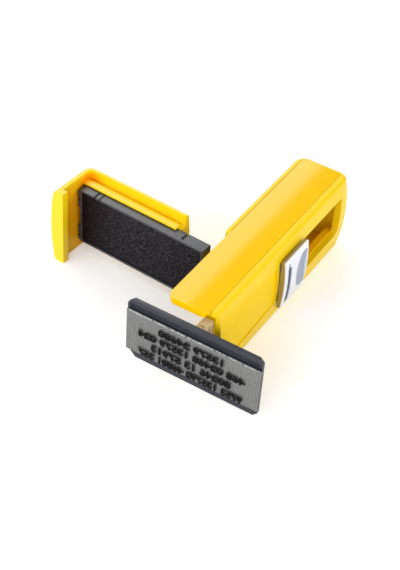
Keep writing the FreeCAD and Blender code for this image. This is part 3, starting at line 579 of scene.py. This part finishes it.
# Turns a mesh under construction into a mesh, and lets the construction go
def finished_mesh(form, name):
    mesh = bpy.data.meshes.new(name)
    form.to_mesh(mesh)
    form.free()
    return mesh


# Adds a block between two corners
def add_block(form, low, high):
    block = bmesh.ops.create_cube(form, size=1)
    for vertex in block["verts"]:
        vertex.co = Vector([low[i] + (vertex.co[i] + 0.5) * (high[i] - low[i]) for i in range(3)])


def round_all_edges(form, width, segments):
    bmesh.ops.bevel(form, geom=form.edges[:], offset=width, segments=segments, profile=0.5, affect="EDGES")


# Closed slab between two corners with bevelled edges
def slab(name, low, high, material, body, width):
    form = bmesh.new()
    add_block(form, low, high)
    round_all_edges(form, width, segments=3)
    mesh = finished_mesh(form, name)
    for polygon in mesh.polygons:
        polygon.use_smooth = True
    return mesh_object(name, mesh, material, body)


# Rubber plate and its mirrored digits
LETTER_HEIGHT = 0.6 * MM
PLATE_EDGE = 0.2 * MM
plate_low, plate_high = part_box("text_plate")
plate_middle = (plate_low + plate_high) / 2
face_y = plate_low.y + LETTER_HEIGHT
plate_front_low = (plate_low.x, face_y, plate_low.z)
plate = slab("rubber_plate", plate_front_low, tuple(plate_high), rubber, "die", PLATE_EDGE)
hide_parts("text_plate")

# Digits, width of each line and its distance above the plate's lower edge, in millimetres
LINES = (
    ("13579 24680", 19.9, 11.65),
    ("468 02468 13579 024", 33.0, 8.4),
    ("80246 13 57913", 24.8, 5.0),
    ("9753 135792 46801 357", 32.5, 1.75),
)
DIGIT_SIZE = 3.1 * MM
DIGIT_BOLDNESS = 0.14 * MM
DIGIT_SINK = 0.02 * MM
LEAST_FACING = 0.5


# One line of digits, turned to read backwards on the face of the plate, with ink on its flat faces and
# painted shade on its sides
def raised_line(number, text, width, rise):
    curve = bpy.data.curves.new(f"digits_{number}", "FONT")
    curve.body = text
    curve.size = DIGIT_SIZE
    curve.align_x = "CENTER"
    curve.align_y = "CENTER"
    curve.extrude = LETTER_HEIGHT / 2
    curve.offset = DIGIT_BOLDNESS
    curve.resolution_u = 3
    holder = bpy.data.objects.new(f"digits_holder_{number}", curve)
    bpy.context.scene.collection.objects.link(holder)
    bpy.context.view_layer.update()
    graph = bpy.context.evaluated_depsgraph_get()
    mesh = bpy.data.meshes.new_from_object(holder.evaluated_get(graph))
    bpy.data.objects.remove(holder)
    across = [vertex.co.x for vertex in mesh.vertices]
    stretch = width / (max(across) - min(across))
    mesh.transform(Matrix.Diagonal((stretch, 1, 1, 1)))
    mirrored = Matrix(((-1, 0, 0), (0, 0, -1), (0, 1, 0))).to_4x4()
    mesh.transform(mirrored)
    mesh.flip_normals()
    middle_y = face_y - LETTER_HEIGHT / 2 + DIGIT_SINK
    mesh.transform(Matrix.Translation((plate_middle.x, middle_y, plate_low.z + rise)))
    piece = mesh_object(f"rubber_digits_{number}", mesh, inked_rubber, "die")
    piece.data.materials.append(shaded_letter_rubber)
    for polygon in piece.data.polygons:
        polygon.material_index = 0 if abs(polygon.normal.y) > LEAST_FACING else 1


for number, (text, width, rise) in enumerate(LINES):
    raised_line(number, text, width * MM, rise * MM)

# Foam cushion behind the plate
CUSHION_EDGE = 0.1 * MM
cushion_low, cushion_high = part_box("die_cushion")
cushion = slab("foam_cushion", cushion_low, cushion_high, cushion_foam, "die", CUSHION_EDGE)
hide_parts("die_cushion")

# Ink foam, drawn as it lies in the shut cover and then swung open with it
OPEN_TURN = math.radians(-93.42)
TRAVEL = 27.0 * MM
SWING_AXIS = Vector((-1.662 * MM, 14.732 * MM, 0))
PAD_LENGTH = (-36.35 * MM, 5.65 * MM)
PAD_HEIGHT = (4.05 * MM, 21.65 * MM)
PAD_DEPTH = (-3.2 * MM, -0.5 * MM)
PAD_CORNER = 0.6 * MM
LEAST_CORNER = 0.05 * MM
PAD_EDGE = 0.45 * MM
PAD_CROWN = 0.15 * MM
CORNER_STEPS = 5
EDGE_STEPS = 5
CROWN_SHARES = (0.15, 0.3, 0.5, 0.7, 0.9)
QUARTER_TURN = math.radians(90)


# What was drawn in the shut cover moves to where the cover stands open
def swing_open(form):
    opened = Matrix.Rotation(OPEN_TURN, 4, "Z")
    shift = SWING_AXIS - opened @ SWING_AXIS - Vector((0, TRAVEL, 0))
    bmesh.ops.transform(form, matrix=Matrix.Translation(shift) @ opened, verts=form.verts[:])


# Points of a rounded rectangle around the foam, drawn in by an inset
def pad_ring(form, inset, depth):
    corner = max(PAD_CORNER - inset, LEAST_CORNER)
    half_y = (PAD_LENGTH[1] - PAD_LENGTH[0]) / 2 - inset - corner
    half_z = (PAD_HEIGHT[1] - PAD_HEIGHT[0]) / 2 - inset - corner
    ring = []
    for quarter, (side_y, side_z) in enumerate(((1, 1), (-1, 1), (-1, -1), (1, -1))):
        for step in range(CORNER_STEPS + 1):
            angle = QUARTER_TURN * (quarter + step / CORNER_STEPS)
            y = sum(PAD_LENGTH) / 2 + side_y * half_y + corner * math.cos(angle)
            z = sum(PAD_HEIGHT) / 2 + side_z * half_z + corner * math.sin(angle)
            ring.append(form.verts.new((depth, y, z)))
    return ring


def ink_foam_piece():
    form = bmesh.new()
    half_height = (PAD_HEIGHT[1] - PAD_HEIGHT[0]) / 2
    shoulder = PAD_DEPTH[1] - PAD_CROWN - PAD_EDGE
    rings = [pad_ring(form, PAD_EDGE / 2, PAD_DEPTH[0]), pad_ring(form, 0, PAD_DEPTH[0] + PAD_EDGE / 2)]
    for step in range(EDGE_STEPS + 1):
        angle = QUARTER_TURN * step / EDGE_STEPS
        inset = PAD_EDGE * (1 - math.cos(angle))
        rings.append(pad_ring(form, inset, shoulder + PAD_EDGE * math.sin(angle)))
    for share in CROWN_SHARES:
        inset = PAD_EDGE + share * (half_height - 2 * PAD_EDGE)
        rings.append(pad_ring(form, inset, shoulder + PAD_EDGE + PAD_CROWN * math.sin(share * math.pi / 2)))
    for outer, inner in zip(rings, rings[1:]):
        for n, vertex in enumerate(outer):
            after = (n + 1) % len(outer)
            form.faces.new((vertex, outer[after], inner[after], inner[n]))
    form.faces.new(rings[-1])
    form.faces.new(list(reversed(rings[0])))
    bmesh.ops.recalc_face_normals(form, faces=form.faces[:])
    swing_open(form)
    mesh = finished_mesh(form, "ink_foam_pad")
    for polygon in mesh.polygons:
        polygon.use_smooth = len(polygon.vertices) == 4
    return mesh_object("ink_foam_pad", mesh, foam, "cover")


ink_foam_pad = ink_foam_piece()
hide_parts("ink_pad")

# Teeth on the tray's outer end, drawn shut as well, with their heights in millimetres
TEETH_DEPTH = (-1.8 * MM, -0.4 * MM)
TEETH_REACH = (-37.95 * MM, -36.9 * MM)
TEETH_HEIGHTS = ((3.7, 5.2), (5.9, 9.2), (16.0, 18.5), (19.2, 21.9))
TEETH_EDGE = 0.15 * MM


def tray_teeth_piece():
    form = bmesh.new()
    for bottom, top in TEETH_HEIGHTS:
        low = (TEETH_DEPTH[0], TEETH_REACH[0], bottom * MM)
        high = (TEETH_DEPTH[1], TEETH_REACH[1], top * MM)
        add_block(form, low, high)
    round_all_edges(form, TEETH_EDGE, segments=2)
    swing_open(form)
    return mesh_object("tray_teeth", finished_mesh(form, "tray_teeth"), black, "cover")


tray_teeth_piece()

# Floor, a little below the stamp so that it doesn't touch
FLOOR_REACH = 3.0
FLOOR_SIDES = ((-1, -1), (1, -1), (1, 1), (-1, 1))
FLOOR_DROP = 0.02 * MM
FLOOR_SHINE = 0.32
floor_corners = [(side_x * FLOOR_REACH, side_y * FLOOR_REACH, 0) for side_x, side_y in FLOOR_SIDES]
floor_mesh = bpy.data.meshes.new("floor")
floor_mesh.from_pydata(floor_corners, [], [(0, 1, 2, 3)])
floor = bpy.data.objects.new("floor", floor_mesh)
floor.location.z = -FLOOR_DROP
bpy.context.scene.collection.objects.link(floor)


def floor_material():
    material, tree, shader = new_material("floor_white")
    shader.inputs["Base Color"].default_value = (*FLOOR_WHITE, 1)
    shader.inputs["Roughness"].default_value = 0.9
    shader.inputs["Specular IOR Level"].default_value = 0.0
    shine = tree.nodes.new("ShaderNodeEmission")
    shine.inputs["Color"].default_value = (*LIGHT_WHITE, 1)
    rays = tree.nodes.new("ShaderNodeLightPath")
    share = number_step(tree, "MULTIPLY", rays.outputs["Is Camera Ray"], FLOOR_SHINE)
    tree.links.new(share, shine.inputs["Strength"])
    add = tree.nodes.new("ShaderNodeAddShader")
    out = tree.nodes["Material Output"]
    tree.links.new(shader.outputs["BSDF"], add.inputs[0])
    tree.links.new(shine.outputs["Emission"], add.inputs[1])
    tree.links.new(add.outputs["Shader"], out.inputs["Surface"])
    return material


floor.data.materials.append(floor_material())

# The world looks white to camera rays and transmitted rays, and lights the object softly
WORLD_LIGHT = 0.30
WORLD_SEEN = 1.0


def studio_world():
    world = bpy.data.worlds.new("studio")
    world.use_nodes = True
    tree = world.node_tree
    background = tree.nodes["Background"]
    rays = tree.nodes.new("ShaderNodeLightPath")
    seen = number_step(tree, "MAXIMUM", rays.outputs["Is Camera Ray"], rays.outputs["Is Transmission Ray"])
    tree.links.new(spread(tree, seen, WORLD_LIGHT, WORLD_SEEN), background.inputs["Strength"])
    background.inputs["Color"].default_value = (*LIGHT_WHITE, 1)
    return world


bpy.context.scene.world = studio_world()

# Soft rectangular lamps
LAMP_AIM = Vector((0, 0, 0.012))


def area_lamp(name, size, power):
    lamp = bpy.data.lights.new(name, "AREA")
    lamp.shape = "RECTANGLE"
    lamp.size = size[0]
    lamp.size_y = size[1]
    lamp.energy = power
    holder = bpy.data.objects.new(name, lamp)
    bpy.context.scene.collection.objects.link(holder)
    return holder


def aimed_lamp(name, place, size, power):
    holder = area_lamp(name, size, power)
    holder.location = place
    holder.rotation_mode = "QUATERNION"
    holder.rotation_quaternion = (LAMP_AIM - Vector(place)).to_track_quat("-Z", "Y")


aimed_lamp("key", place=(-0.35, -0.15, 0.45), size=(0.50, 0.50), power=0.9)
aimed_lamp("fill", place=(0.53, 0.0, 0.26), size=(0.90, 0.45), power=2.4)
aimed_lamp("front", place=(-0.05, -0.55, 0.24), size=(0.80, 0.42), power=2.9)

# Softbox behind on the left, whose edge ends its reflection along the middle of the lid
SOFTBOX_SIZE = (0.50, 0.26)
SOFTBOX_POWER = 1.1
SOFTBOX_EDGE = Vector((-0.170, 0.348, 0.342))
SOFTBOX_ALONG = Vector((0.172, 0.930, -0.327)).normalized()
SOFTBOX_ACROSS = Vector((-0.819, 0.0, -0.574))


def add_softbox():
    across = (SOFTBOX_ACROSS - SOFTBOX_ACROSS.dot(SOFTBOX_ALONG) * SOFTBOX_ALONG).normalized()
    facing = Matrix((SOFTBOX_ALONG, across, SOFTBOX_ALONG.cross(across))).transposed()
    centre = SOFTBOX_EDGE + across * SOFTBOX_SIZE[1] / 2
    holder = area_lamp("softbox", SOFTBOX_SIZE, SOFTBOX_POWER)
    holder.matrix_world = Matrix.Translation(centre) @ facing.to_4x4()


add_softbox()

# Camera at the photograph's place, solved from the stamp's own edges, with its turns in degrees
CAMERA_PLACE = (0.1218, -0.2498, 0.2530)
CAMERA_YAW = 29.124
CAMERA_PITCH = 41.847
CAMERA_ROLL = 4.486
CAMERA_LENS = 81.75
CAMERA_SENSOR = 36.0
CAMERA_NEAR = 0.01
CAMERA_FAR = 20


def add_camera():
    data = bpy.data.cameras.new("camera")
    data.sensor_width = CAMERA_SENSOR
    data.lens = CAMERA_LENS
    data.clip_start = CAMERA_NEAR
    data.clip_end = CAMERA_FAR
    camera = bpy.data.objects.new("camera", data)
    bpy.context.scene.collection.objects.link(camera)
    yaw, pitch, roll = (math.radians(angle) for angle in (CAMERA_YAW, CAMERA_PITCH, CAMERA_ROLL))
    forward = Vector((-math.sin(yaw) * math.cos(pitch), math.cos(yaw) * math.cos(pitch), -math.sin(pitch)))
    level = Vector((math.cos(yaw), math.sin(yaw), 0))
    upright = level.cross(forward)
    right = level * math.cos(roll) + upright * math.sin(roll)
    up = upright * math.cos(roll) - level * math.sin(roll)
    turn = Matrix((right, up, -forward)).transposed()
    camera.matrix_world = Matrix.Translation(CAMERA_PLACE) @ turn.to_4x4()
    bpy.context.scene.camera = camera


add_camera()
bpy.context.scene.view_settings.view_transform = "Standard"
